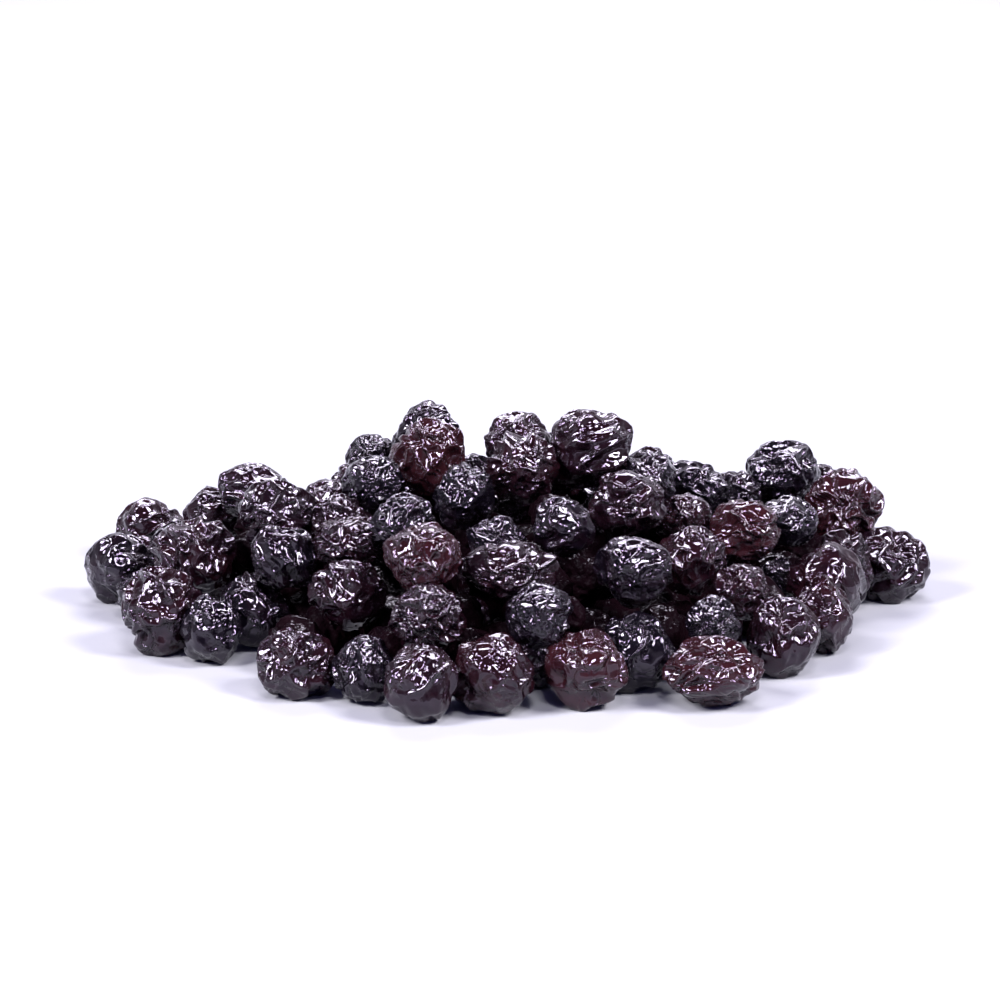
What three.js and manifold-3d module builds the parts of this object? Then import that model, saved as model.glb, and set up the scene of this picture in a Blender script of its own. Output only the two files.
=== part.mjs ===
// A loose heap of dried sour cherries on a table, as it was poured: three layers high in
// the middle and one at its edge. Sizes are in millimetres. X runs across the heap, Y to
// its far side and Z up, and the table is at Z = 0.

import * as THREE from "three";
import { mergeVertices } from "three/addons/utils/BufferGeometryUtils.js";
import Module from "manifold-3d";

const wasm = await Module();
wasm.setup();

// Every cherry that can be told apart from in front, seen by an eye VIEW_DISTANCE from the
// heap's middle that looks down by VIEW_TILT. A row holds how far the cherry's middle is to
// the right of the heap's middle, how far above it, how wide and how high the cherry looks,
// and how high its middle lies over the table. A height of 0 is a cherry lying on the table.
const VIEW_TILT = THREE.MathUtils.degToRad(17);
const VIEW_DISTANCE = 550;

const FRONT_ROW = [
  [-69.8, 6.4, 11.8, 13.3, 0],
  [-62, -1, 14, 16, 0],
  [-53, -4.5, 11, 12.5, 0],
  [-45, -1, 13, 14, 0],
  [-37.5, -10.5, 14, 12.5, 0],
  [-25.5, -11.5, 12, 12.5, 0],
  [-15, -14, 13.5, 14, 0],
  [-2.5, -12.5, 15.5, 14.5, 0],
  [14.5, -12, 15, 14, 0],
  [23, -8.5, 15, 14, 0],
  [37.5, -12, 17.5, 13, 0],
  [49.9, -5.4, 13.2, 14.7, 0],
  [57, -1.8, 11, 14.6, 0],
  [60.5, 6, 11, 14.5, 0],
  [69.5, 7, 13.5, 13, 0],
];
const LEFT_SIDE = [
  [-64, 13.5, 12, 11.5, 0],
  [-56, 9, 15, 13, 13],
  [-40, 8.5, 12, 12, 16],
  [-41, 16, 14, 13, 20],
  [-53, 16, 10, 10, 10],
  [-45.5, 20.4, 12.4, 9.9, 16],
  [-28.5, 2, 14, 12.5, 13],
  [-15, 8, 14, 13, 20],
  [-14, -2, 13.5, 12, 13],
  [-28, 10.5, 13.5, 11, 18],
  [-30, 15, 10, 9.5, 20],
  [-18.5, 14.5, 11.5, 11, 23],
  [-24, 21.5, 11, 11, 24],
  [-23.9, 26.2, 9.8, 9.1, 22],
  [-27.5, 21.5, 8, 8, 18],
  [-32.5, 18, 9, 9, 17],
];
const PEAKS = [
  [-14, 26.5, 13.5, 14.5, 27],
  [-14.1, 30.2, 12.6, 12.5, 28],
  [-7.5, 19.5, 11, 12, 24],
  [-5.5, 22.5, 9, 9, 22],
  [3, 24.5, 13, 12.5, 27],
  [2.2, 28.9, 11.9, 11.4, 28],
  [15.4, 28.2, 14.8, 14.6, 29],
];
const RIGHT_SIDE = [
  [-1.5, 11, 11, 10, 20],
  [1, 6, 17, 11, 17],
  [10.5, 14, 11, 11, 22],
  [6, -2, 12, 11.5, 14],
  [22, 18.5, 13.5, 11.5, 23],
  [25.1, 23.5, 9.8, 9.8, 23],
  [28, 23, 8, 8, 19],
  [34, 20.5, 12.5, 10.5, 17],
  [23, 6, 14, 13, 17],
  [32, 15.5, 10, 9.5, 18],
  [33.5, 8, 12.5, 13, 15],
  [43, 13.5, 12.5, 11.5, 17],
  [51, 15, 10.5, 9, 16],
  [50, 23.8, 13.2, 11.8, 18],
  [61, 17.5, 13.5, 14, 14],
  [42.5, 2.5, 10, 10, 12],
  [37.5, -3.5, 10, 10.5, 10],
  [40, 19.6, 9, 8.8, 15],
  [41.5, 19.5, 9, 8.8, 15],
  [56, 21.5, 8, 8, 14],
];
const DEEP_IN_GAPS = [
  [6, -10, 10, 10, 0],
  [49.5, 4.5, 8, 8, 7],
  [30, -3.5, 9, 9, 0],
  [12.5, 5, 10, 10, 10],
  [15, -1, 9, 9, 0],
  [-4.5, -1.5, 9, 9, 0],
  [-35, -2, 9, 9, 0],
  [54, 9.5, 9, 9, 7],
];
const SHOWN = [...FRONT_ROW, ...LEFT_SIDE, ...PEAKS, ...RIGHT_SIDE, ...DEEP_IN_GAPS];

// Dried cherries are tacky and soft, so two that touch flatten each other a little, and so
// does one that lies on the table.
const TOUCHING_SHARE = 0.92;
const SETTLING_ROUNDS = 60;

// The heap goes on behind what can be seen: a dome of cherries of the usual size.
const HEAP_HALF_WIDTH = 72;
const HEAP_HALF_DEPTH = 58;
const HEAP_MIDDLE_Y = 3;
const HIGHEST_MIDDLE = 30;
const USUAL_RADII = [5.7, 6.8];
const SMALL_RADII = [4.6, 5.6];
const USUAL_COUNT = 75;
const SMALL_COUNT = 45;
const HIDDEN_SHARE = 0.6;
const PLACES_TRIED = 500;
const GAP_WEIGHT = 0.4;

// The core under the outer cherries, from its middle to its rim.
const CORE_DIRECTIONS = 28;
const CORE_RINGS = 6;
const CORE_DEPTH = 5;
const CORE_INSET = 5;
const CORE_WINDOW = 8.5;
const CORE_RIM_HEIGHT = 2;

const FINE_FROM_WIDTH = 10.5;
const DENT_SHARE = 0.09;
const SMALLEST_STEP = 0.2;
const DARK_CHERRY = 0x24121a;

// The same row of draws each time, from 0 to 1.
let seed = 4711;
function random() {
  seed = (seed * 16807) % 2147483647;
  return seed / 2147483647;
}

const sine = Math.sin(VIEW_TILT);
const cosine = Math.cos(VIEW_TILT);

// How far along the eye's line of sight a point lies.
function distanceFromEye(y, z) {
  return VIEW_DISTANCE + y * cosine - z * sine;
}

// The cherry of one row at its place on the table or in the heap.
function placeShown([right, up, wide, high, middleHeight]) {
  let y = 0;
  let z = middleHeight;
  let scale = 1;
  for (let step = 0; step < 40; step++) {
    scale = distanceFromEye(y, z) / VIEW_DISTANCE;
    z = middleHeight || (high * scale * TOUCHING_SHARE) / 2;
    y = (up * scale - z * cosine) / sine;
  }
  const at = new THREE.Vector3(right * scale, y, z);
  const eye = new THREE.Vector3(0, -VIEW_DISTANCE * cosine, VIEW_DISTANCE * sine);
  return {
    at,
    wide: wide * scale,
    high: high * scale,
    radius: ((wide + high) * scale) / 4,
    sight: middleHeight ? at.clone().sub(eye).normalize() : new THREE.Vector3(),
  };
}

// Two shown cherries that sit in each other slide apart along their lines of sight, so
// both keep their places in the view.
function settle(cherries) {
  for (let round = 0; round < SETTLING_ROUNDS; round++)
    cherries.forEach((one, i) =>
      cherries.slice(i + 1).forEach((other) => {
        const push = one.at.clone().sub(other.at);
        const room = TOUCHING_SHARE * (one.radius + other.radius) - push.length();
        if (room <= 0) return;
        push.setLength(room / 2);
        one.at.addScaledVector(one.sight, push.dot(one.sight));
        other.at.addScaledVector(other.sight, -push.dot(other.sight));
      }),
    );
}

// Where a point is seen, in the same measures as the rows.
function seenAt(point) {
  const shrink = VIEW_DISTANCE / distanceFromEye(point.y, point.z);
  return [point.x * shrink, (point.y * sine + point.z * cosine) * shrink, shrink];
}

// Whether a ball is mostly behind the shown cherries and adds nothing to their outline.
function isHidden(at, radius, shown) {
  const [right, up, shrink] = seenAt(at);
  const disks = shown.map((c) => seenDisk(c, at));
  let hidden = 0;
  let outside = 0;
  for (const reach of [0, 0.55, 1])
    for (let turn = 0; turn < 12; turn++) {
      const x = right + reach * radius * shrink * Math.cos((turn * Math.PI) / 6);
      const z = up + reach * radius * shrink * Math.sin((turn * Math.PI) / 6);
      const spans = disks.map((disk) => [disk, disk.halfHeightAt(x)]).filter((span) => span[1] > 0);
      if (spans.some(([disk, half]) => disk.nearer && Math.abs(z - disk.up) < half)) hidden++;
      const below = spans.some(([disk, half]) => z < disk.up + half);
      const above = spans.some(([disk, half]) => z > disk.up - half);
      if (!below || !above) outside++;
    }
  return hidden >= 36 * HIDDEN_SHARE && outside === 0;
}

// A shown cherry as the oval it looks like, and whether it is nearer than a place.
function seenDisk(cherry, place) {
  const [right, up, shrink] = seenAt(cherry.at);
  const halfWidth = (cherry.wide / 2) * shrink;
  const halfHeight = (cherry.high / 2) * shrink;
  const nearer = distanceFromEye(cherry.at.y, cherry.at.z) < distanceFromEye(place.y, place.z);
  const halfHeightAt = (x) => {
    const off = (x - right) / halfWidth;
    return Math.abs(off) < 1 ? halfHeight * Math.sqrt(1 - off * off) : 0;
  };
  return { up, nearer, halfHeightAt };
}

// The highest a hidden cherry's middle may lie.
function domeHeight(x, y) {
  const outward = (x / HEAP_HALF_WIDTH) ** 2 + ((y - HEAP_MIDDLE_Y) / HEAP_HALF_DEPTH) ** 2;
  return HIGHEST_MIDDLE * (1 - outward) + USUAL_RADII[0] * outward;
}

// The lowest height at which a ball rests free of the cherries around it.
function restingHeight(x, y, radius, cherries) {
  const blocked = [];
  for (const c of cherries) {
    const reach = TOUCHING_SHARE * (c.radius + radius);
    const half = Math.sqrt(reach ** 2 - (c.at.x - x) ** 2 - (c.at.y - y) ** 2);
    if (half > 0) blocked.push([c.at.z - half, c.at.z + half]);
  }
  let z = TOUCHING_SHARE * radius;
  for (const [low, high] of blocked.sort((a, b) => a[0] - b[0]))
    if (low < z && z < high) z = high;
  return z;
}

// The sum of the gaps to the three nearest cherries.
function looseness(at, radius, cherries) {
  const gaps = cherries.map((c) => c.at.distanceTo(at) - c.radius - radius);
  gaps.sort((a, b) => a - b);
  return gaps[0] + gaps[1] + gaps[2];
}

// The lowest and snuggest of many places drawn for one more cherry out of sight.
function snuggestPlace(radius, cherries, shown) {
  let best = null;
  let bestScore = Infinity;
  for (let draw = 0; draw < PLACES_TRIED; draw++) {
    const x = (random() * 2 - 1) * HEAP_HALF_WIDTH;
    const y = (random() * 2 - 1) * HEAP_HALF_DEPTH + HEAP_MIDDLE_Y;
    const at = new THREE.Vector3(x, y, restingHeight(x, y, radius, cherries));
    if (at.z > domeHeight(x, y)) continue;
    const score = at.z + GAP_WEIGHT * looseness(at, radius, cherries);
    if (score > bestScore || !isHidden(at, radius, shown)) continue;
    best = at;
    bestScore = score;
  }
  return best;
}

// Cherries of the usual sizes under and behind the shown ones, then small ones between.
function fillHeap(shown) {
  const cherries = [...shown];
  for (let i = 0; i < USUAL_COUNT + SMALL_COUNT; i++) {
    const [least, most] = i < USUAL_COUNT ? USUAL_RADII : SMALL_RADII;
    const radius = least + (most - least) * random();
    const at = snuggestPlace(radius, cherries, shown);
    if (at) cherries.push({ at, radius, wide: radius * 2, high: radius * 2 });
  }
  return cherries;
}

// Moves the heap so that the middle of its footprint is the origin.
function centreHeap(cherries) {
  const ends = cherries.flatMap((c) => [
    c.at.clone().addScalar(c.radius),
    c.at.clone().addScalar(-c.radius),
  ]);
  const middle = new THREE.Box3().setFromPoints(ends).getCenter(new THREE.Vector3()).setZ(0);
  cherries.forEach((c) => c.at.sub(middle));
}

function toSolid(geometry) {
  const bare = geometry.clone();
  bare.deleteAttribute("normal");
  bare.deleteAttribute("uv");
  const merged = mergeVertices(bare, 1e-4);
  return new wasm.Manifold(
    new wasm.Mesh({
      numProp: 3,
      vertProperties: merged.attributes.position.array,
      triVerts: new Uint32Array(merged.index.array),
    }),
  );
}

// One dented cherry with 80 flat facets, or 32 where it is small or out of sight.
function cherrySolid(cherry, isFine) {
  const ball = isFine ? new THREE.IcosahedronGeometry(1, 1) : new THREE.OctahedronGeometry(1.07, 1);
  ball.deleteAttribute("normal");
  ball.deleteAttribute("uv");
  const lump = mergeVertices(ball, 1e-4);
  const turn = new THREE.Euler(random() * 6.28, random() * 6.28, random() * 6.28);
  const point = new THREE.Vector3();
  const corners = lump.attributes.position;
  for (let i = 0; i < corners.count; i++) {
    point.fromBufferAttribute(corners, i).applyEuler(turn);
    point.multiplyScalar(1.08 - DENT_SHARE * random());
    point.multiply(new THREE.Vector3(cherry.wide / 2, cherry.radius, cherry.high / 2));
    point.add(cherry.at);
    corners.setXYZ(i, point.x, point.y, point.z);
  }
  return toSolid(lump);
}

// How high the core rises: well under the middles of the cherries near by.
function coreHeight(x, y, cherries) {
  const near = cherries.filter((c) => Math.hypot(c.at.x - x, c.at.y - y) < CORE_WINDOW);
  return Math.max(CORE_RIM_HEIGHT, ...near.map((c) => c.at.z - CORE_DEPTH));
}

// How far the core reaches in one direction.
function coreRim(angle, cherries) {
  const reaches = cherries.map((c) => c.at.x * Math.cos(angle) + c.at.y * Math.sin(angle));
  return Math.max(...reaches) - CORE_INSET;
}

// The core is a low dome with a flat base and an uneven top.
function coreSolid(cherries) {
  const points = [0, 0, coreHeight(0, 0, cherries)];
  const faces = [];
  for (let ring = 1; ring <= CORE_RINGS; ring++)
    for (let turn = 0; turn < CORE_DIRECTIONS; turn++) {
      const angle = (turn * 2 * Math.PI) / CORE_DIRECTIONS;
      const reach = (coreRim(angle, cherries) * ring) / CORE_RINGS;
      const x = reach * Math.cos(angle);
      const y = reach * Math.sin(angle);
      points.push(x, y, coreHeight(x, y, cherries));
    }
  const rimStart = 1 + (CORE_RINGS - 1) * CORE_DIRECTIONS;
  const baseStart = rimStart + CORE_DIRECTIONS;
  for (let turn = 0; turn < CORE_DIRECTIONS; turn++)
    points.push(points[3 * (rimStart + turn)], points[3 * (rimStart + turn) + 1], 0);
  const baseMiddle = points.length / 3;
  points.push(0, 0, 0);
  for (let turn = 0; turn < CORE_DIRECTIONS; turn++) {
    const next = (turn + 1) % CORE_DIRECTIONS;
    faces.push(0, 1 + turn, 1 + next);
    for (let ring = 0; ring < CORE_RINGS; ring++) {
      const inner = 1 + ring * CORE_DIRECTIONS;
      const outer = inner + CORE_DIRECTIONS;
      faces.push(inner + turn, outer + turn, outer + next);
      faces.push(inner + turn, outer + next, inner + next);
    }
    faces.push(baseMiddle, baseStart + next, baseStart + turn);
  }
  const shape = new THREE.BufferGeometry();
  shape.setAttribute("position", new THREE.Float32BufferAttribute(points, 3));
  shape.setIndex(faces);
  return toSolid(shape);
}

// Whether other cherries lie right on top of one, so that only the core is behind its place.
function isBuried(cherry, cherries) {
  const onTop = cherries.filter(
    (c) => c.at.z > cherry.at.z + 5 && Math.hypot(c.at.x - cherry.at.x, c.at.y - cherry.at.y) < 8,
  );
  return onTop.length > 1;
}

// Everything fused, cut level with the table, and with no hollow left inside.
function heapSolid(cherries, shownCount) {
  let heap = coreSolid(cherries);
  cherries.forEach((cherry, i) => {
    const isShown = i < shownCount;
    const isFine = isShown && cherry.wide > FINE_FROM_WIDTH;
    if (isShown || !isBuried(cherry, cherries)) heap = heap.add(cherrySolid(cherry, isFine));
  });
  const table = new THREE.BoxGeometry(400, 400, 40).translate(0, 0, -20);
  heap = heap.subtract(toSolid(table));
  const bodies = heap.simplify(SMALLEST_STEP).decompose();
  bodies.sort((a, b) => b.volume() - a.volume());
  return bodies[0];
}

function toMesh(solid, name, material) {
  const mesh = solid.getMesh();
  const geometry = new THREE.BufferGeometry();
  geometry.setAttribute("position", new THREE.BufferAttribute(mesh.vertProperties, 3));
  geometry.setIndex(new THREE.BufferAttribute(mesh.triVerts, 1));
  geometry.computeVertexNormals();
  const part = new THREE.Mesh(geometry, material);
  part.name = name;
  return part;
}

const shown = SHOWN.map(placeShown);
settle(shown);
const cherries = fillHeap(shown);
centreHeap(cherries);

const skin = new THREE.MeshStandardMaterial({ color: DARK_CHERRY, roughness: 0.35 });
const heap = new THREE.Group();
heap.add(toMesh(heapSolid(cherries, shown.length), "cherry_heap", skin));

export default heap;
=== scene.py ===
import math
import random

import bpy
import numpy as np
from mathutils import Matrix, Vector, noise


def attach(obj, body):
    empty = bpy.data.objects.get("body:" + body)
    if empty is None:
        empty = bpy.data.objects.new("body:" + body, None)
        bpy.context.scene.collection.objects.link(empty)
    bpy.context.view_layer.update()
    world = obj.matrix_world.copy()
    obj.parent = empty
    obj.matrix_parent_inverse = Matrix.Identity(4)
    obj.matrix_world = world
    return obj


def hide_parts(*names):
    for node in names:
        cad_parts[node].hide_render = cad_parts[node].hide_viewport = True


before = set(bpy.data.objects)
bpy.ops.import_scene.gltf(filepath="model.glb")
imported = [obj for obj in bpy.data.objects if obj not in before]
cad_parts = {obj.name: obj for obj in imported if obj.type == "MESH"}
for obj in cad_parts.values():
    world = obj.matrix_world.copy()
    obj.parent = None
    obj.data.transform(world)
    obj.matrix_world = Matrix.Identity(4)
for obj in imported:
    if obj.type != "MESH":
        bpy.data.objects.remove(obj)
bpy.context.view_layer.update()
bpy.ops.object.select_all(action="DESELECT")


# Where each cherry lies. The heap was poured on a bare table and settled three layers
# high in the middle and one at its edge. The cherries in front are placed one by one,
# and those out of sight fill the heap under and behind them. Sizes are in millimetres.

VIEW_TILT = math.radians(17)
VIEW_DISTANCE = 550

# Millimetres seen to the right of the heap's middle and above it, seen width and height,
# height of the cherry's middle over the table (0 lies on the table), wrinkles, the side
# that stayed smooth, skin tone.
FRONT_ROW = [
    (-69.8, 6.4, 11.8, 13.3, 0, "long", "left", "ink"),
    (-62, -1, 14, 16, 0, "coarse", "away", "plum"),
    (-53, -4.5, 11, 12.5, 0, "dense", "left", "ink"),
    (-45, -1, 13, 14, 0, "facets", "low", "ink"),
    (-37.5, -10.5, 14, 12.5, 0, "coarse", "low", "plum"),
    (-25.5, -11.5, 12, 12.5, 0, "net", "low", "ink"),
    (-15, -14, 13.5, 14, 0, "dense", "low", "plum"),
    (-2.5, -12.5, 15.5, 14.5, 0, "dense", "away", "plum"),
    (14.5, -12, 15, 14, 0, "facets", "left", "red"),
    (23, -8.5, 15, 14, 0, "long", "low", "ink"),
    (37.5, -12, 17.5, 13, 0, "coarse", "right", "red"),
    (49.9, -5.4, 13.2, 14.7, 0, "slumped", "low", "plum"),
    (57, -1.8, 11, 14.6, 0, "net", "right", "plum"),
    (60.5, 6, 11, 14.5, 0, "facets", "low", "plum"),
    (69.5, 7, 13.5, 13, 0, "facets", "away", "plum"),
]
LEFT_SIDE = [
    (-64, 13.5, 12, 11.5, 0, "long", "left", "plum"),
    (-56, 9, 15, 13, 13, "coarse", "low", "plum"),
    (-40, 8.5, 12, 12, 16, "facets", "left", "ink"),
    (-41, 16, 14, 13, 20, "coarse", "away", "plum"),
    (-53, 16, 10, 10, 10, "facets", "left", "plum"),
    (-45.5, 20.4, 12.4, 9.9, 16, "facets", "top", "plum"),
    (-28.5, 2, 14, 12.5, 13, "facets", "low", "plum"),
    (-15, 8, 14, 13, 20, "net", "low", "red"),
    (-14, -2, 13.5, 12, 13, "coarse", "away", "plum"),
    (-28, 10.5, 13.5, 11, 18, "net", "away", "plum"),
    (-30, 15, 10, 9.5, 20, "coarse", "away", "plum"),
    (-18.5, 14.5, 11.5, 11, 23, "coarse", "low", "ink"),
    (-24, 21.5, 11, 11, 24, "dense", "away", "ink"),
    (-23.9, 26.2, 9.8, 9.1, 22, "net", "away", "ink"),
    (-27.5, 21.5, 8, 8, 18, "net", "away", "plum"),
    (-32.5, 18, 9, 9, 17, "dense", "away", "plum"),
]
PEAKS = [
    (-14, 26.5, 13.5, 14.5, 27, "coarse", "low", "red"),
    (-14.1, 30.2, 12.6, 12.5, 28, "net", "left", "ink"),
    (-7.5, 19.5, 11, 12, 24, "dense", "away", "ink"),
    (-5.5, 22.5, 9, 9, 22, "facets", "away", "ink"),
    (3, 24.5, 13, 12.5, 27, "long", "away", "plum"),
    (2.2, 28.9, 11.9, 11.4, 28, "dense", "away", "plum"),
    (15.4, 28.2, 14.8, 14.6, 29, "long", "left", "plum"),
]
RIGHT_SIDE = [
    (-1.5, 11, 11, 10, 20, "slumped", "low", "ink"),
    (1, 6, 17, 11, 17, "long", "away", "plum"),
    (10.5, 14, 11, 11, 22, "facets", "right", "ink"),
    (6, -2, 12, 11.5, 14, "dense", "away", "ink"),
    (22, 18.5, 13.5, 11.5, 23, "coarse", "low", "plum"),
    (25.1, 23.5, 9.8, 9.8, 23, "net", "low", "plum"),
    (28, 23, 8, 8, 19, "net", "away", "ink"),
    (34, 20.5, 12.5, 10.5, 17, "slumped", "away", "ink"),
    (23, 6, 14, 13, 17, "dense", "away", "ink"),
    (32, 15.5, 10, 9.5, 18, "net", "away", "plum"),
    (33.5, 8, 12.5, 13, 15, "facets", "low", "plum"),
    (43, 13.5, 12.5, 11.5, 17, "net", "left", "red"),
    (51, 15, 10.5, 9, 16, "dense", "low", "ink"),
    (50, 23.8, 13.2, 11.8, 18, "dense", "away", "ink"),
    (61, 17.5, 13.5, 14, 14, "coarse", "away", "red"),
    (42.5, 2.5, 10, 10, 12, "net", "away", "plum"),
    (37.5, -3.5, 10, 10.5, 10, "net", "away", "ink"),
    (40, 19.6, 9, 8.8, 15, "net", "away", "ink"),
    (41.5, 19.5, 9, 8.8, 15, "facets", "away", "ink"),
    (56, 21.5, 8, 8, 14, "net", "away", "plum"),
]
DEEP_IN_GAPS = [
    (6, -10, 10, 10, 0, "net", "away", "ink"),
    (49.5, 4.5, 8, 8, 7, "net", "away", "ink"),
    (30, -3.5, 9, 9, 0, "facets", "away", "shade"),
    (12.5, 5, 10, 10, 10, "net", "away", "shade"),
    (15, -1, 9, 9, 0, "net", "away", "shade"),
    (-4.5, -1.5, 9, 9, 0, "net", "away", "shade"),
    (-35, -2, 9, 9, 0, "facets", "away", "shade"),
    (54, 9.5, 9, 9, 7, "net", "away", "shade"),
]

SINE = math.sin(VIEW_TILT)
COSINE = math.cos(VIEW_TILT)
EYE = np.array((0, -VIEW_DISTANCE * COSINE, VIEW_DISTANCE * SINE))

# Dried cherries are tacky and soft, so two that touch flatten each other a little.
TOUCHING_SHARE = 0.92
PLACING_ROUNDS = 40
SETTLING_ROUNDS = 60


def distance_from_eye(y, z):
    return VIEW_DISTANCE + y * COSINE - z * SINE


def place_shown(row):
    right, up, wide, high, middle_height, wrinkles, smooth_side, tone = row
    y, z, scale = 0.0, float(middle_height), 1.0
    for _ in range(PLACING_ROUNDS):
        scale = distance_from_eye(y, z) / VIEW_DISTANCE
        z = middle_height or high * scale * TOUCHING_SHARE / 2
        y = (up * scale - z * COSINE) / SINE
    at = np.array((right * scale, y, z), dtype=float)
    sight = at - EYE
    return {
        "at": at,
        "wide": wide * scale,
        "high": high * scale,
        "radius": (wide + high) * scale / 4,
        "sight": sight / np.linalg.norm(sight) if middle_height else np.zeros(3),
        "wrinkles": wrinkles,
        "smooth_side": smooth_side,
        "tone": tone,
        "shown": True,
    }


def settle(cherries):
    """Two shown cherries that sit in each other slide apart along their lines of sight."""
    for _ in range(SETTLING_ROUNDS):
        for number, one in enumerate(cherries, 1):
            for other in cherries[number:]:
                push = one["at"] - other["at"]
                apart = math.sqrt(push[0] ** 2 + push[1] ** 2 + push[2] ** 2)
                room = TOUCHING_SHARE * (one["radius"] + other["radius"]) - apart
                if room <= 0:
                    continue
                push *= room / 2 / apart
                one["at"] = one["at"] + one["sight"] * push.dot(one["sight"])
                other["at"] = other["at"] - other["sight"] * push.dot(other["sight"])


def seen_at(point):
    shrink = VIEW_DISTANCE / distance_from_eye(point[1], point[2])
    return point[0] * shrink, (point[1] * SINE + point[2] * COSINE) * shrink, shrink


def seen_ovals(cherries):
    """Each cherry as the oval it looks like: middle, half width and height, distance."""
    ovals = []
    for cherry in cherries:
        right, up, shrink = seen_at(cherry["at"])
        half_wide = cherry["wide"] / 2 * shrink
        half_high = cherry["high"] / 2 * shrink
        distance = distance_from_eye(cherry["at"][1], cherry["at"][2])
        ovals.append((right, up, half_wide, half_high, distance))
    return ovals


# A filling cherry is tried at points on three rings, as it is seen: its middle, about
# half way out and its edge.
RING_REACHES = (0, 0.55, 1)
RING_POINTS = 12
ALL_POINTS = len(RING_REACHES) * RING_POINTS
HIDDEN_SHARE = 0.6


def count_points(at, radius, ovals):
    """How many of a ball's points lie behind the nearer ovals, and how many lie outside
    the outline of them all."""
    right, up, shrink = seen_at(at)
    distance = distance_from_eye(at[1], at[2])
    hidden = outside = 0
    for reach in RING_REACHES:
        for turn in range(RING_POINTS):
            angle = turn * 2 * math.pi / RING_POINTS
            x = right + reach * radius * shrink * math.cos(angle)
            z = up + reach * radius * shrink * math.sin(angle)
            covered = below = above = False
            for other_right, other_up, half_wide, half_high, other_distance in ovals:
                off = (x - other_right) / half_wide
                if abs(off) >= 1:
                    continue
                half = half_high * math.sqrt(1 - off * off)
                covered = covered or (other_distance < distance and abs(z - other_up) < half)
                below = below or z < other_up + half
                above = above or z > other_up - half
            hidden += covered
            outside += not (below and above)
    return hidden, outside


def is_hidden(at, radius, ovals):
    """Mostly behind the shown cherries, and within their outline."""
    hidden, outside = count_points(at, radius, ovals)
    return hidden >= ALL_POINTS * HIDDEN_SHARE and outside == 0


# The heap goes on behind what can be seen: a dome of cherries of the usual size, then
# small ones between them.
HEAP_HALF_WIDTH = 72
HEAP_HALF_DEPTH = 58
HEAP_MIDDLE_Y = 3
HIGHEST_MIDDLE = 30
USUAL_RADII = (5.7, 6.8)
SMALL_RADII = (4.6, 5.6)
USUAL_COUNT = 75
SMALL_COUNT = 45
PLACES_TRIED = 500
NEIGHBOURS = 3
GAP_WEIGHT = 0.4
HIDDEN_WRINKLES = ("net", "dense", "coarse", "facets", "slumped", "long")
HIDDEN_SIDES = ("low", "left", "top", "right", "away")
HIDDEN_TONES = ("ink", "plum", "ink", "plum", "plum", "ink", "plum")
DRAW_FACTOR = 16807
DRAW_LIMIT = 2147483647
pour_draw = 4711


def next_draw():
    """The same row of draws each time, from 0 to 1."""
    global pour_draw
    pour_draw = pour_draw * DRAW_FACTOR % DRAW_LIMIT
    return pour_draw / DRAW_LIMIT


def dome_height(x, y):
    """The highest that a filling cherry's middle may lie."""
    outward = (x / HEAP_HALF_WIDTH) ** 2 + ((y - HEAP_MIDDLE_Y) / HEAP_HALF_DEPTH) ** 2
    return HIGHEST_MIDDLE * (1 - outward) + USUAL_RADII[0] * outward


def resting_height(x, y, radius, middles, radii):
    """The lowest height at which a ball rests free of the cherries around it."""
    reach = TOUCHING_SHARE * (radii + radius)
    square = reach ** 2 - (middles[:, 0] - x) ** 2 - (middles[:, 1] - y) ** 2
    near = square > 0
    half = np.sqrt(square[near])
    heights = middles[near, 2]
    z = TOUCHING_SHARE * radius
    for low, high in sorted(zip(heights - half, heights + half)):
        if low < z < high:
            z = high
    return z


def snuggest_place(radius, middles, radii, ovals):
    """The lowest and snuggest of many places drawn for one more cherry out of sight."""
    best = None
    best_score = math.inf
    for _ in range(PLACES_TRIED):
        x = (next_draw() * 2 - 1) * HEAP_HALF_WIDTH
        y = (next_draw() * 2 - 1) * HEAP_HALF_DEPTH + HEAP_MIDDLE_Y
        z = resting_height(x, y, radius, middles, radii)
        if z > dome_height(x, y):
            continue
        at = np.array((x, y, z))
        gaps = np.sqrt(((middles - at) ** 2).sum(1)) - radii - radius
        score = z + GAP_WEIGHT * np.partition(gaps, NEIGHBOURS - 1)[:NEIGHBOURS].sum()
        if score > best_score or not is_hidden(at, radius, ovals):
            continue
        best = at
        best_score = score
    return best


def middles_and_radii(cherries):
    middles = np.array([cherry["at"] for cherry in cherries])
    radii = np.array([cherry["radius"] for cherry in cherries])
    return middles, radii


def fill_heap(shown):
    cherries = list(shown)
    ovals = seen_ovals(shown)
    for number in range(USUAL_COUNT + SMALL_COUNT):
        least, most = USUAL_RADII if number < USUAL_COUNT else SMALL_RADII
        radius = least + (most - least) * next_draw()
        middles, radii = middles_and_radii(cherries)
        at = snuggest_place(radius, middles, radii, ovals)
        if at is None:
            continue
        cherries.append({
            "at": at,
            "wide": radius * 2,
            "high": radius * 2,
            "radius": radius,
            "wrinkles": HIDDEN_WRINKLES[number % len(HIDDEN_WRINKLES)],
            "smooth_side": HIDDEN_SIDES[number % len(HIDDEN_SIDES)],
            "tone": HIDDEN_TONES[number % len(HIDDEN_TONES)],
            "shown": False,
        })
    return cherries


def footprint_middle(cherries):
    middles, radii = middles_and_radii(cherries)
    radii = radii[:, None]
    middle = ((middles - radii).min(0) + (middles + radii).max(0)) / 2
    middle[2] = 0
    return middle


ROWS = FRONT_ROW + LEFT_SIDE + PEAKS + RIGHT_SIDE + DEEP_IN_GAPS
shown_cherries = [place_shown(row) for row in ROWS]
settle(shown_cherries)
cherries = fill_heap(shown_cherries)
heap_ovals = seen_ovals(cherries)
heap_middle = footprint_middle(cherries)

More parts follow.
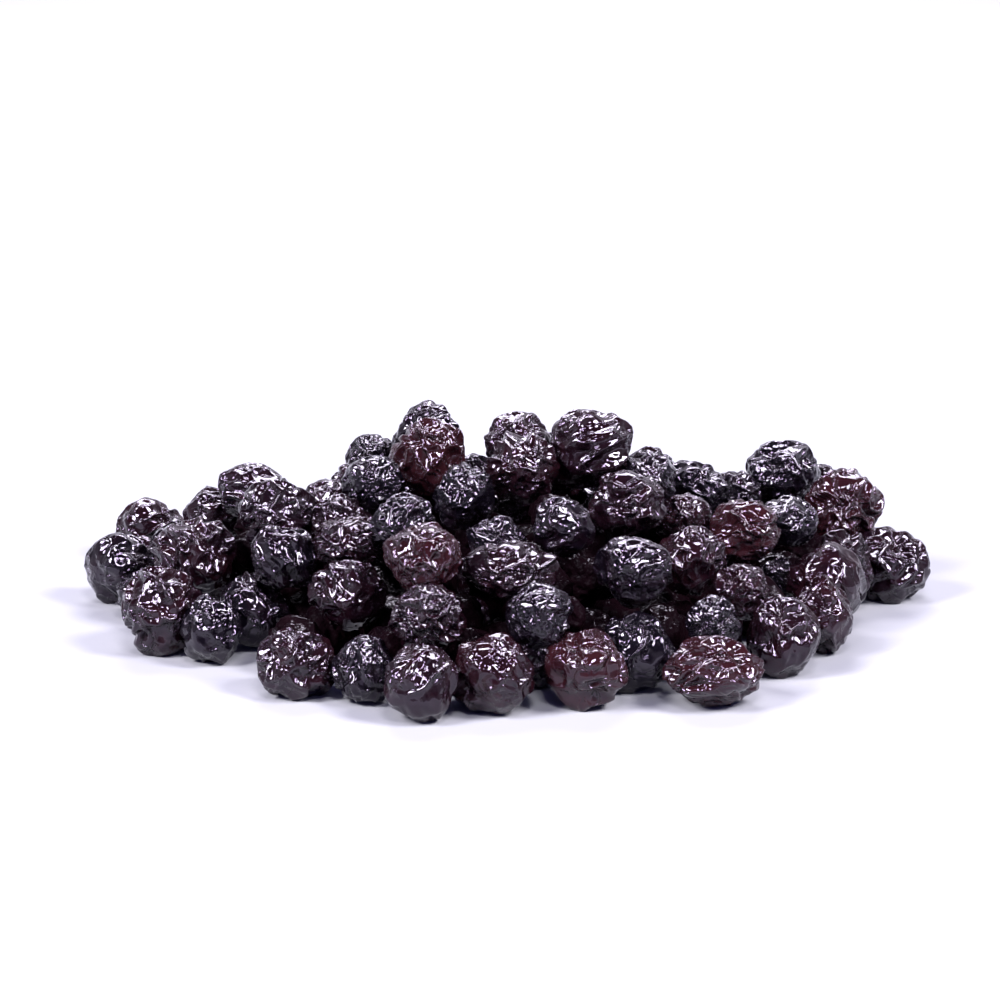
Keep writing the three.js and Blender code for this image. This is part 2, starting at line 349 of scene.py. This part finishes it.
# Between the cherries in front are deep gaps. The filling ones that show there are shrunk and sunk,
# and get the dark, dull skin of painted shade. The ones at the left end are only shrunk and sunk.
GAPS_HALF_WIDTH = 50
GAPS_BACK = 11
GAPS_TOP = 22.5
LEFT_END = -56
GAP_CHERRY_SHARE = 0.86
SMALL_SHARE = 0.76
SINK = 1.5


def peeps_out(cherry):
    if cherry["shown"]:
        return False
    return count_points(cherry["at"], cherry["radius"], heap_ovals)[0] < ALL_POINTS


def shrink_cherry(cherry, share):
    cherry["at"] = cherry["at"] - np.array((0, 0, SINK))
    for size in ("wide", "high", "radius"):
        cherry[size] *= share


peeping_cherries = [cherry for cherry in cherries if peeps_out(cherry)]
for cherry in peeping_cherries:
    x, y, z = cherry["at"]
    if abs(x) < GAPS_HALF_WIDTH and y < GAPS_BACK and z < GAPS_TOP:
        # Painted shade: these take the dark, dull skin.
        cherry["tone"] = "shade"
        shrink_cherry(cherry, GAP_CHERRY_SHARE)
    elif x < LEFT_END:
        shrink_cherry(cherry, SMALL_SHARE)
for cherry in cherries:
    cherry["at"] = cherry["at"] - heap_middle


# The camera stands where the photographer stood, in front and a little above. It looks
# at the middle of the picture, just left of the heap's middle and above it.

MM = 0.001
PHOTO_PIXELS = 1000
PIXELS_PER_MM = 5.55
SENSOR = 36
FARTHEST_SEEN = 10
AIM_LEFT = 1.0
AIM_UP = 18.9

camera_data = bpy.data.cameras.new("camera")
camera_data.sensor_width = SENSOR
camera_data.lens = SENSOR * PIXELS_PER_MM * VIEW_DISTANCE / PHOTO_PIXELS
camera_data.clip_end = FARTHEST_SEEN
camera = bpy.data.objects.new("camera", camera_data)
bpy.context.collection.objects.link(camera)
camera.location = Vector(EYE - heap_middle) * MM
aim = Vector((-AIM_LEFT, AIM_UP * SINE, AIM_UP * COSINE)) - Vector(heap_middle)
camera.rotation_euler = (aim * MM - camera.location).to_track_quat("-Z", "Y").to_euler()
bpy.context.scene.camera = camera


# The kinds of dried sour cherry. The stone is out and the flesh shrank under its skin, so
# the skin drew in between crests and folds: wide glossy hollows on some, close beads of
# wrinkles on others. One side often stayed smoother, here the underside.

MASTER_RADIUS = 6.5
MASTER_DETAIL = 6
VARIANTS = 3
SEEDS_PER_KIND = 100
SHOWN_TRIANGLES = 9600
HIDDEN_TRIANGLES = 2800

# Flat sides, how far out they lie and how round their edges are. Folds round and along
# the fruit, their depth in mm, how wavy they run and how many of them wind instead of
# meeting in a net, then smaller creases on top of them. The depth of the stem end and its
# rays. Thin crests and beads in the skin itself: their height in mm, their share of the
# skin, and how much they are drawn out lengthwise.
WRINKLES = {
    "facets": {
        "sides": 9, "cut": 0.83, "edge": 0.16,
        "folds": (1.45, 1.3), "depth": 1.1, "wave": 0.30, "winds": 0.3,
        "creases": (2.8, 2.4), "crease": 0.10,
        "pit": 0.5, "rays": 7, "ray": 0.25,
        "thin": 0.38, "thin_share": 0.65,
        "bead": 0.10, "bead_share": 0.15, "drawn_out": 0.8,
    },
    "long": {
        "sides": 4, "cut": 0.84, "edge": 0.10,
        "folds": (2.2, 0.75), "depth": 0.9, "wave": 0.35, "winds": 0.7,
        "creases": (4.0, 1.2), "crease": 0.21,
        "pit": 0.6, "rays": 9, "ray": 0.2,
        "thin": 0.44, "thin_share": 0.50,
        "bead": 0.15, "bead_share": 0.30, "drawn_out": 0.35,
    },
    "dense": {
        "sides": 4, "cut": 0.86, "edge": 0.08,
        "folds": (1.6, 1.4), "depth": 0.7, "wave": 0.45, "winds": 0.5,
        "creases": (3.2, 2.4), "crease": 0.13,
        "pit": 0.4, "rays": 9, "ray": 0.15,
        "thin": 0.15, "thin_share": 0.40,
        "bead": 0.34, "bead_share": 0.90, "drawn_out": 0.55,
    },
    "coarse": {
        "sides": 6, "cut": 0.83, "edge": 0.14,
        "folds": (1.8, 1.5), "depth": 1.3, "wave": 0.55, "winds": 0.7,
        "creases": (3.2, 2.2), "crease": 0.22,
        "pit": 1.2, "rays": 9, "ray": 0.45,
        "thin": 0.40, "thin_share": 0.60,
        "bead": 0.20, "bead_share": 0.30, "drawn_out": 0.6,
    },
    "net": {
        "sides": 5, "cut": 0.84, "edge": 0.08,
        "folds": (2.0, 1.6), "depth": 0.9, "wave": 0.50, "winds": 0.6,
        "creases": (3.6, 2.6), "crease": 0.20,
        "pit": 0.6, "rays": 9, "ray": 0.25,
        "thin": 0.45, "thin_share": 0.75,
        "bead": 0.20, "bead_share": 0.45, "drawn_out": 0.6,
    },
    "slumped": {
        "sides": 7, "cut": 0.79, "edge": 0.14,
        "folds": (1.5, 1.1), "depth": 1.0, "wave": 0.40, "winds": 0.4,
        "creases": (3.2, 2.0), "crease": 0.16,
        "pit": 0.9, "rays": 7, "ray": 0.3,
        "thin": 0.35, "thin_share": 0.55,
        "bead": 0.22, "bead_share": 0.35, "drawn_out": 0.6,
    },
}

# Lumps of the body: how many there are over it, and their height as a share of its radius.
LUMPS = ((1.2, 0.13), (2.6, 0.05))
LEAST_FACING = 0.05
SHORTEST_DRAW = 0.1
SIDE_DISTANCES = (0.96, 1.08)


def smooth_step(share):
    share = min(1.0, max(0.0, share))
    return share * share * (3 - 2 * share)


def stretched(point, counts):
    around, along = counts
    return Vector((point.x * around, point.y * around, point.z * along))


def flat_sides(draws, count, cut):
    """Sides that face any way, each a little nearer or further out."""
    sides = []
    while len(sides) < count:
        side = Vector([draws.uniform(-1, 1) for _ in range(3)])
        if SHORTEST_DRAW < side.length < 1:
            sides.append((side.normalized(), cut * draws.uniform(*SIDE_DISTANCES)))
    return sides


def body_radius(point, sides, edge):
    """A ball pressed flat on a few sides, with soft edges between them."""
    radius = 1.0
    for side, distance in sides:
        facing = point.dot(side)
        if facing > LEAST_FACING:
            limit = distance / facing
            blend = max(edge - abs(radius - limit), 0) / edge
            radius = min(radius, limit) - blend * blend * edge / 4
    return radius


def lumps_height(point, shift):
    return sum(height * noise.noise(point * count + shift) for count, height in LUMPS)


# Crests are narrow and a little round on top, and the skin falls away on both sides of
# them to the bottom of the hollows.
CREST_WIDTH = 0.24
CREST_ROUNDING = 0.10
HOLLOW_SLOPE = 0.5
HOLLOW_REACH = 0.8
SWAY_SHIFTS = (Vector((7.3, 3.1, 1.7)), Vector((1.9, 9.2, 4.6)), Vector((5.4, 2.8, 8.5)))
SWAYS = ((0.9, 1), (2.3, 0.3))
WINDING_COUNT = 0.9
WINDING_SHIFT = Vector((3, 5, 8))
WINDING_STEEPNESS = 1.6


def sway(point):
    """A smooth shift that differs from place to place, the same in every run."""
    return Vector([noise.noise(point + shift) for shift in SWAY_SHIFTS])


def crest_height(away):
    """The height of the skin at some way from the middle of the nearest crest."""
    away = math.hypot(away, CREST_ROUNDING) - CREST_ROUNDING
    return math.exp(-away / CREST_WIDTH) - HOLLOW_SLOPE * min(away, HOLLOW_REACH)


def folded(point, counts, wave, winds):
    """Crests that meet in a net, and crests that wind about, in the shares given."""
    bent = stretched(point, counts)
    for count, share in SWAYS:
        bent += sway(bent * count) * wave * share
    nearest = noise.voronoi(bent)[0]
    net = crest_height(nearest[1] - nearest[0])
    winding = crest_height(noise.noise(bent * WINDING_COUNT + WINDING_SHIFT) * WINDING_STEEPNESS)
    return net * (1 - winds) + winding * winds


# The stem end: a pit with short folds that run out from it. Angles are in radians.
STEM_END = Vector((0.92, 0.0, 0.39))
STEM_ACROSS = Vector((-0.39, 0.0, 0.92))
STEM_REACH = 1.3
PIT_SPREAD = 0.25
RAYS_AT = 0.55
RAYS_SPREAD = 0.33
RAYS_WANDER = 3


def stem_end_height(point, kind):
    off = STEM_END.angle(point)
    if off > STEM_REACH:
        return 0.0
    around = math.atan2(point.y, point.dot(STEM_ACROSS))
    wave = math.cos(kind["rays"] * around + RAYS_WANDER * noise.noise(point * 2))
    ray = wave * math.exp(-((off - RAYS_AT) / RAYS_SPREAD) ** 2)
    return kind["ray"] * ray - kind["pit"] * math.exp(-(off / PIT_SPREAD) ** 2)


# Where the skin's zero lies between crest and hollow, and how far it may stand out. Each
# pattern is read at its own multiple of the cherry's shift, so that none repeats another.
FOLD_LEVEL = 0.45
CREASE_LEVEL = 0.4
CREASE_WAVE = 0.6
CREASED_SHARE = 0.6
HIGHEST_CREST = 0.45
SHIFT_REACH = 50
PATCH_COUNT = 1.9
PATCH_LEVEL = 0.15
PATCH_STEEPNESS = 2.2

# Where the smooth underside ends and how slowly, and how much of the folds, creases and
# thin crests it still has.
SMOOTH_SIDE_END = 0.85
SMOOTH_SIDE_FADE = 0.6
LEAST_FOLDS = 0.6
LEAST_CREASES = 0.3
LEAST_CRESTS = 0.25


def share_of_skin(point, share):
    """1 on patches that cover about that share of the skin, 0 between them."""
    return smooth_step((noise.noise(point * PATCH_COUNT) + share - PATCH_LEVEL) * PATCH_STEEPNESS)


def wrinkled_side(point):
    """0 on the side that stayed smooth, 1 on the rest."""
    return smooth_step((point.z + SMOOTH_SIDE_END) / SMOOTH_SIDE_FADE)


def skin_height(point, kind, shift):
    """How far the skin stands out of the body, in mm."""
    wrinkled = wrinkled_side(point)
    winds = share_of_skin(point * 0.7 + shift * 6, kind["winds"])
    fold = folded(point + shift, kind["folds"], kind["wave"], winds)
    crease = folded(point + shift * 4, kind["creases"], CREASE_WAVE, 1 - winds)
    creased = share_of_skin(point + shift * 2, CREASED_SHARE)
    creases = LEAST_CREASES + (1 - LEAST_CREASES) * wrinkled
    crease_share = LEAST_CRESTS + (1 - LEAST_CRESTS) * creased * creases
    folds = LEAST_FOLDS + (1 - LEAST_FOLDS) * wrinkled
    height = kind["depth"] * (fold - FOLD_LEVEL) * folds
    height += kind["crease"] * (crease - CREASE_LEVEL) * crease_share + stem_end_height(point, kind)
    return math.tanh(height / HIGHEST_CREST) * HIGHEST_CREST if height > 0 else height


def make_cherry(name, kind, seed):
    draws = random.Random(seed)
    bpy.ops.mesh.primitive_ico_sphere_add(subdivisions=MASTER_DETAIL, radius=1)
    cherry = bpy.context.active_object
    cherry.name = name
    sides = flat_sides(draws, kind["sides"], kind["cut"])
    shift = Vector([draws.uniform(-SHIFT_REACH, SHIFT_REACH) for _ in range(3)])
    places, thin, beads = [], [], []
    for corner in cherry.data.vertices:
        point = corner.co.normalized()
        body = body_radius(point, sides, kind["edge"]) + lumps_height(point, shift)
        corner.co = point * (body + skin_height(point, kind, shift) / MASTER_RADIUS)
        wrinkled = wrinkled_side(point)
        crested = LEAST_CRESTS + (1 - LEAST_CRESTS) * wrinkled
        places.extend(stretched(point, (1, kind["drawn_out"])) * MASTER_RADIUS * MM)
        thin.append(kind["thin"] * crested * share_of_skin(point + shift * 3, kind["thin_share"]))
        beads.append(kind["bead"] * wrinkled * share_of_skin(point + shift * 5, kind["bead_share"]))
    attributes = cherry.data.attributes
    attributes.new("skin_place", "FLOAT_VECTOR", "POINT").data.foreach_set("vector", places)
    attributes.new("thin_crests", "FLOAT", "POINT").data.foreach_set("value", thin)
    attributes.new("beads", "FLOAT", "POINT").data.foreach_set("value", beads)
    return cherry


def copy_of(cherry):
    copy = cherry.copy()
    copy.data = cherry.data.copy()
    bpy.context.collection.objects.link(copy)
    return copy


def thinned(cherry, triangles):
    """A copy with fewer faces, for use in the heap."""
    copy = copy_of(cherry)
    bpy.ops.object.select_all(action="DESELECT")
    copy.select_set(True)
    bpy.context.view_layer.objects.active = copy
    thin = copy.modifiers.new("thin", "DECIMATE")
    thin.ratio = triangles / len(copy.data.polygons)
    bpy.ops.object.modifier_apply(modifier=thin.name)
    bpy.ops.object.shade_smooth()
    return copy


masters = {}
for number, (wrinkles, kind) in enumerate(WRINKLES.items()):
    for variant in range(VARIANTS):
        whole = make_cherry("master", kind, SEEDS_PER_KIND * number + variant)
        masters[wrinkles, variant, True] = thinned(whole, SHOWN_TRIANGLES)
        masters[wrinkles, variant, False] = thinned(whole, HIDDEN_TRIANGLES)
        bpy.data.objects.remove(whole)


# The skins. Sugar and oil leave every cherry glossy, nearly black, with a blue, plum or
# red-brown cast. Thin crests and beads finer than the folds are raised in the skin itself.

SKIN_INK = (0.0020, 0.0015, 0.0026, 1)
SKIN_PLUM = (0.0056, 0.0018, 0.0030, 1)
SKIN_RED = (0.0140, 0.0035, 0.0044, 1)
GLOSS_TINT = (0.90, 0.74, 1, 1)
CREST_WANDER = (0.003, 0.003, 0.003)


def add_node(tree, kind, inputs=(), **settings):
    node = tree.nodes.new(kind)
    for name, value in settings.items():
        setattr(node, name, value)
    for name, value in dict(inputs).items():
        if isinstance(value, bpy.types.NodeSocket):
            tree.links.new(value, node.inputs[name])
        else:
            node.inputs[name].default_value = value
    return node


def calculate(tree, operation, *values, **settings):
    inputs = dict(enumerate(values))
    return add_node(tree, "ShaderNodeMath", inputs, operation=operation, **settings).outputs["Value"]


def fade(tree, value, start, end, at_start, at_end, smooth=False):
    """A value that goes from at_start to at_end while another goes from start to end."""
    ends = {"Value": value, "From Min": start, "From Max": end, "To Min": at_start, "To Max": at_end}
    way = "SMOOTHSTEP" if smooth else "LINEAR"
    return add_node(tree, "ShaderNodeMapRange", ends, interpolation_type=way).outputs["Result"]


def clouds(tree, place, scale, detail, output="Fac"):
    inputs = {"Vector": place, "Scale": scale, "Detail": detail}
    return add_node(tree, "ShaderNodeTexNoise", inputs).outputs[output]


def cells(tree, place, scale, feature):
    """How far the skin is from the edge or the middle of its cell."""
    inputs = {"Vector": place, "Scale": scale}
    return add_node(tree, "ShaderNodeTexVoronoi", inputs, feature=feature).outputs["Distance"]


def own_value(tree, name, output="Fac"):
    return add_node(tree, "ShaderNodeAttribute", attribute_name=name).outputs[output]


def raised(tree, height, distance):
    inputs = {"Height": height, "Strength": 1, "Distance": distance}
    return add_node(tree, "ShaderNodeBump", inputs).outputs["Normal"]


def new_skin(name):
    skin = bpy.data.materials.new(name)
    skin.use_nodes = True
    return skin, skin.node_tree, skin.node_tree.nodes["Principled BSDF"].inputs


def make_skin():
    skin, tree, finish = new_skin("cherry_skin")
    finish["IOR"].default_value = 1.38
    finish["Specular Tint"].default_value = GLOSS_TINT
    finish["Coat Weight"].default_value = 0.55
    finish["Coat Roughness"].default_value = 0.03
    finish["Coat IOR"].default_value = 1.5

    place = own_value(tree, "skin_place", "Vector")
    patches = clouds(tree, place, scale=260, detail=3)
    redness = fade(tree, patches, 0.3, 0.7, -0.2, 0.2)
    tone = calculate(tree, "ADD", own_value(tree, "tone"), redness, use_clamp=True)
    tones = add_node(tree, "ShaderNodeValToRGB", {"Fac": tone})
    tones.color_ramp.elements[0].color = SKIN_INK
    tones.color_ramp.elements[1].color = SKIN_RED
    tones.color_ramp.elements.new(0.5).color = SKIN_PLUM
    tree.links.new(tones.outputs["Color"], finish["Base Color"])
    tree.links.new(fade(tree, patches, 0.3, 0.7, 0.07, 0.16), finish["Roughness"])

    wander = clouds(tree, place, scale=250, detail=1, output="Color")
    wavy = add_node(tree, "ShaderNodeVectorMath", {0: wander, 1: CREST_WANDER, 2: place},
                    operation="MULTIPLY_ADD").outputs["Vector"]
    swirls = clouds(tree, wavy, scale=380, detail=0)
    from_line = calculate(tree, "ABSOLUTE", calculate(tree, "SUBTRACT", swirls, 0.5))
    coil = fade(tree, from_line, 0.0, 0.07, 1.0, 0.0, smooth=True)
    edges = cells(tree, wavy, 300, "DISTANCE_TO_EDGE")
    crest = fade(tree, edges, 0.0, 0.11, 1.0, 0.0, smooth=True)
    bead = fade(tree, cells(tree, wavy, 850, "F1"), 0.0, 0.75, 1.0, 0.0, smooth=True)
    either_crest = calculate(tree, "MAXIMUM", crest, coil)
    crests = calculate(tree, "MULTIPLY", either_crest, own_value(tree, "thin_crests"))
    height = calculate(tree, "MULTIPLY_ADD", bead, own_value(tree, "beads"), crests)
    tree.links.new(raised(tree, height, MM), finish["Normal"])
    return skin


# Deep in the gaps the skins are painted nearly black and all but matt: painted shade, nearly as dark
# as the gaps. Only their upward faces keep some gloss.

# Painted shade: black to a dark red, far darker than the lit skins.
SHADE_BLACK = (0.0010, 0.0008, 0.0012, 1)
SHADE_DARK_RED = (0.0055, 0.0017, 0.0026, 1)


def make_shade_skin():
    skin, tree, finish = new_skin("painted_shade_cherries")
    finish["Specular IOR Level"].default_value = 0.01
    finish["Coat Roughness"].default_value = 0.08

    place = add_node(tree, "ShaderNodeTexCoord").outputs["Object"]
    blotches = clouds(tree, place, scale=300, detail=3)
    juice = add_node(tree, "ShaderNodeValToRGB", {"Fac": blotches})
    juice.color_ramp.elements[0].color = SHADE_BLACK
    juice.color_ramp.elements[1].color = SHADE_DARK_RED
    tree.links.new(juice.outputs["Color"], finish["Base Color"])
    tree.links.new(fade(tree, blotches, 0.3, 0.7, 0.25, 0.45), finish["Roughness"])

    facing = add_node(tree, "ShaderNodeNewGeometry").outputs["Normal"]
    upward = add_node(tree, "ShaderNodeSeparateXYZ", {"Vector": facing}).outputs["Z"]
    tree.links.new(fade(tree, upward, 0.80, 0.92, 0.0, 0.45), finish["Coat Weight"])
    dented = raised(tree, clouds(tree, place, scale=900, detail=2), 0.4 * MM)
    tree.links.new(dented, finish["Normal"])
    tree.links.new(dented, finish["Coat Normal"])
    return skin


cherry_skin = make_skin()
shade_skin = make_shade_skin()


# The cherries in their places. Each is a turned copy of one of the wrinkled kinds, drawn
# to its own width and height, and flat where it lies on the table.

SMOOTH_SIDES = {
    "low": (0, -0.55, -0.85),
    "left": (-0.9, -0.4, -0.1),
    "right": (0.9, -0.4, -0.1),
    "top": (0, -0.35, 0.95),
    "away": (0, 1, 0),
}
SIDE_SPREAD = 0.25
TONES = {"shade": 0.0, "ink": 0.0, "plum": 0.5, "red": 1.0}
TONE_SPREAD = 0.12
BODY_PERCENTILES = (1, 99)
BODY_SHARE = 0.98

lay_draws = random.Random(12)


def turned(smooth_side):
    """A turn about the smooth side, which then faces the way it does in the heap."""
    facing = Vector(SMOOTH_SIDES[smooth_side])
    facing += Vector([lay_draws.uniform(-SIDE_SPREAD, SIDE_SPREAD) for _ in range(3)])
    spin = Matrix.Rotation(lay_draws.uniform(0, 2 * math.pi), 3, "Z")
    tip = Vector((0, 0, -1)).rotation_difference(facing).to_matrix()
    return np.array(tip @ spin)


def lay_corners(mesh, cherry):
    """Turns and draws out the skin so that all but its highest crests fill its size."""
    corners = np.empty(len(mesh.vertices) * 3)
    mesh.vertices.foreach_get("co", corners)
    corners = corners.reshape(-1, 3) @ turned(cherry["smooth_side"]).T
    low, high = np.percentile(corners, BODY_PERCENTILES, axis=0)
    size = np.array((cherry["wide"], cherry["radius"] * 2, cherry["high"])) * BODY_SHARE
    corners = (corners - (low + high) / 2) / (high - low) * size + cherry["at"]
    corners[:, 2] = np.maximum(corners[:, 2], 0)
    mesh.vertices.foreach_set("co", (corners * MM).ravel())


def lay_cherry(cherry):
    variant = lay_draws.randrange(VARIANTS)
    copy = copy_of(masters[cherry["wrinkles"], variant, cherry["shown"]])
    lay_corners(copy.data, cherry)
    attributes = copy.data.attributes
    tone = TONES[cherry["tone"]] + lay_draws.uniform(-TONE_SPREAD, TONE_SPREAD)
    tones = np.full(len(copy.data.vertices), tone)
    attributes.new("tone", "FLOAT", "POINT").data.foreach_set("value", tones)
    places = np.empty(len(copy.data.vertices) * 3)
    attributes["skin_place"].data.foreach_get("vector", places)
    attributes["skin_place"].data.foreach_set("vector", places + lay_draws.uniform(0, 1))
    return copy


def join_pieces(pieces, name):
    bpy.ops.object.select_all(action="DESELECT")
    for piece in pieces:
        piece.select_set(True)
    bpy.context.view_layer.objects.active = pieces[0]
    bpy.ops.object.join()
    pieces[0].name = name
    return pieces[0]


def group_name(cherry):
    # The cherries with the tone shade get the dark, dull skin of painted shade.
    if cherry["tone"] == "shade":
        return "cherries_painted_shade"
    if not cherry["shown"]:
        return f"cherries_{cherry['wrinkles']}_hidden"
    side = "left" if cherry["at"][0] < 0 else "right"
    return f"cherries_{cherry['wrinkles']}_{side}"


groups = {}
for cherry in cherries:
    groups.setdefault(group_name(cherry), []).append(lay_cherry(cherry))
for master in masters.values():
    bpy.data.objects.remove(master)
for name, pieces in groups.items():
    heap_piece = join_pieces(pieces, name)
    heap_piece.data.materials.clear()
    # The painted-shade cherries get the dark, dull skin; all others the glossy one.
    heap_piece.data.materials.append(shade_skin if name == "cherries_painted_shade" else cherry_skin)
    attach(heap_piece, "root")
    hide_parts("cherry_heap")


# The core: a dark dome in the heap's inside, seen only through deep gaps, where it is painted shade.
# It is a ball pressed down to a low dome that follows the cherries over it.

CORE_DIRECTIONS = 28
CORE_RINGS = 6
CORE_DEPTH = 14
CORE_INSET = 22
CORE_WINDOW = 8.5
CORE_LEAST = 1.5
CORE_BASE = 0.3
LOWEST_UPPER_CORNER = 0.01


def core_height(x, y):
    """Well below the highest cherry near that place."""
    height = CORE_LEAST
    for over_x, over_y, over_z in [cherry["at"] for cherry in cherries]:
        if math.hypot(over_x - x, over_y - y) < CORE_WINDOW:
            height = max(height, over_z - CORE_DEPTH)
    return height


def core_rim(angle):
    """How far out the core goes that way, well inside the outermost cherry."""
    middles = [cherry["at"] for cherry in cherries]
    return max(x * math.cos(angle) + y * math.sin(angle) for x, y, z in middles) - CORE_INSET


bpy.ops.mesh.primitive_uv_sphere_add(segments=CORE_DIRECTIONS, ring_count=2 * CORE_RINGS, radius=1)
core = bpy.context.active_object
core.name = "heap_core"
for corner in core.data.vertices:
    angle = math.atan2(corner.co.y, corner.co.x)
    reach = core_rim(angle) * min(1.0, math.hypot(corner.co.x, corner.co.y))
    x, y = reach * math.cos(angle), reach * math.sin(angle)
    z = core_height(x, y) if corner.co.z > LOWEST_UPPER_CORNER else CORE_BASE
    corner.co = Vector((x, y, z)) * MM
bpy.ops.object.shade_smooth()
# Painted shade: the core has the same dark, dull skin.
core.data.materials.append(shade_skin)
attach(core, "root")
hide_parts("cherry_heap")


# The table, a plain white sheet that runs out of sight. It is matt, so that it holds the
# heap's soft shadows and nothing else.

TABLE_WIDTH = 6.0
TABLE_WHITE = (0.250, 0.263, 0.245, 1)

bpy.ops.mesh.primitive_plane_add(size=TABLE_WIDTH, location=(0, 0, 0))
table = bpy.context.active_object
table.name = "table"
white = bpy.data.materials.new("white_table")
white.use_nodes = True
finish = white.node_tree.nodes["Principled BSDF"].inputs
finish["Base Color"].default_value = TABLE_WHITE
finish["Roughness"].default_value = 1
finish["Specular IOR Level"].default_value = 0
table.data.materials.append(white)


# The studio light: soft lamps at both sides, in front and behind, and a long one behind
# the heap that whitens the far end of the table.

LILAC = (1.02, 0.95, 1.14)


def soft_light(name, place, size, power, aim=(0, 0, 0)):
    light = bpy.data.lights.new(name, "AREA")
    light.shape = "RECTANGLE"
    light.size, light.size_y = size
    light.energy = power
    light.color = LILAC
    lamp = bpy.data.objects.new(name, light)
    bpy.context.collection.objects.link(lamp)
    lamp.location = place
    lamp.rotation_euler = (Vector(aim) - Vector(place)).to_track_quat("-Z", "Y").to_euler()


soft_light("left_light", (-0.7, -0.45, 0.7), (0.32, 0.32), 25)
soft_light("right_light", (0.7, -0.35, 0.75), (0.32, 0.32), 25)
soft_light("front_light", (0.1, -0.7, 0.95), (0.26, 0.26), 10)
soft_light("back_light", (0, 0.6, 0.75), (0.5, 0.25), 10)
soft_light("table_light", (0, 0.7, 0.7), (1.2, 0.4), 30, aim=(0, 1.3, 0))


# The room. What the skins mirror is dark but for a white backdrop behind the heap and
# paler walls at the sides and low down. All else gets the bluish light off the paper.

PAPER_LIGHT = (0.60, 0.52, 2.10, 1)
PAPER_STRENGTH = 0.3

studio = bpy.data.worlds.new("studio")
bpy.context.scene.world = studio
studio.use_nodes = True
room = studio.node_tree
paper = room.nodes["Background"]
paper.inputs["Color"].default_value = PAPER_LIGHT
paper.inputs["Strength"].default_value = PAPER_STRENGTH
ray = add_node(room, "ShaderNodeTexCoord").outputs["Generated"]
leans = add_node(room, "ShaderNodeSeparateXYZ", {"Vector": ray}).outputs
backdrop = fade(room, leans["Y"], 0.35, 0.9, 0.015, 0.6, smooth=True)
sideways = calculate(room, "ABSOLUTE", leans["X"])
side_walls = fade(room, sideways, 0.45, 0.95, 0.0, 0.4, smooth=True)
low_walls = fade(room, leans["Z"], 0.0, 0.45, 0.45, 0.0, smooth=True)
brightest = calculate(room, "MAXIMUM", calculate(room, "MAXIMUM", backdrop, side_walls), low_walls)
walls = add_node(room, "ShaderNodeBackground", {"Color": (*LILAC, 1), "Strength": brightest})
is_mirrored = add_node(room, "ShaderNodeLightPath").outputs["Is Glossy Ray"]
either = add_node(room, "ShaderNodeMixShader", {
    "Fac": is_mirrored, 1: paper.outputs["Background"], 2: walls.outputs["Background"]})
room.links.new(either.outputs["Shader"], room.nodes["World Output"].inputs["Surface"])
bpy.context.scene.view_settings.view_transform = "Standard"
